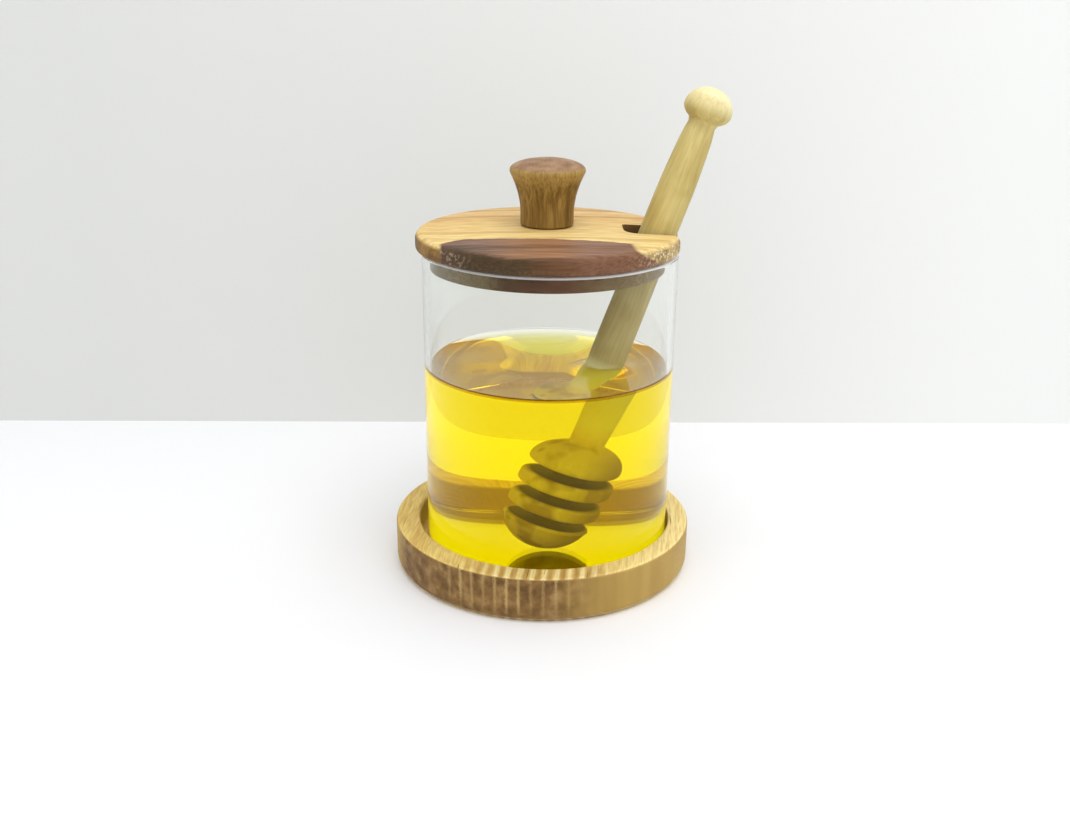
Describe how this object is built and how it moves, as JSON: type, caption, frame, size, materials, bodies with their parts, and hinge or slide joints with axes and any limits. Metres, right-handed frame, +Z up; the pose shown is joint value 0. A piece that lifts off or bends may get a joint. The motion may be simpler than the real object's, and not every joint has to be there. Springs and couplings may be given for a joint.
{
  "type": "honey jar",
  "caption": "Straight clear glass jar of honey standing in a round wooden coaster, closed by a notched wooden lid with a turned knob; a wooden honey dipper leans through the notch.",
  "frame": {"origin": "middle of the coaster's underside, which lies on z = 0", "axes": "+Z up along the jar, +X to the side the dipper leans to, which is the picture's right; the picture looks from -Y"},
  "size_m": [0.1111, 0.104, 0.1639],
  "materials": {
    "golden_wood": "oiled, satin",
    "streaked_wood": "oiled, satin",
    "brown_wood": "oiled, satin",
    "pale_wood": "bare, sanded",
    "clear_glass": "clear, polished",
    "honey": "clear, glossy"
  },
  "bodies": {
    "root": {"coaster": "golden_wood", "glass_jar": "clear_glass", "honey": "honey", "lid": "streaked_wood", "lid_knob": "brown_wood", "dipper": "pale_wood"}
  },
  "joints": []
}
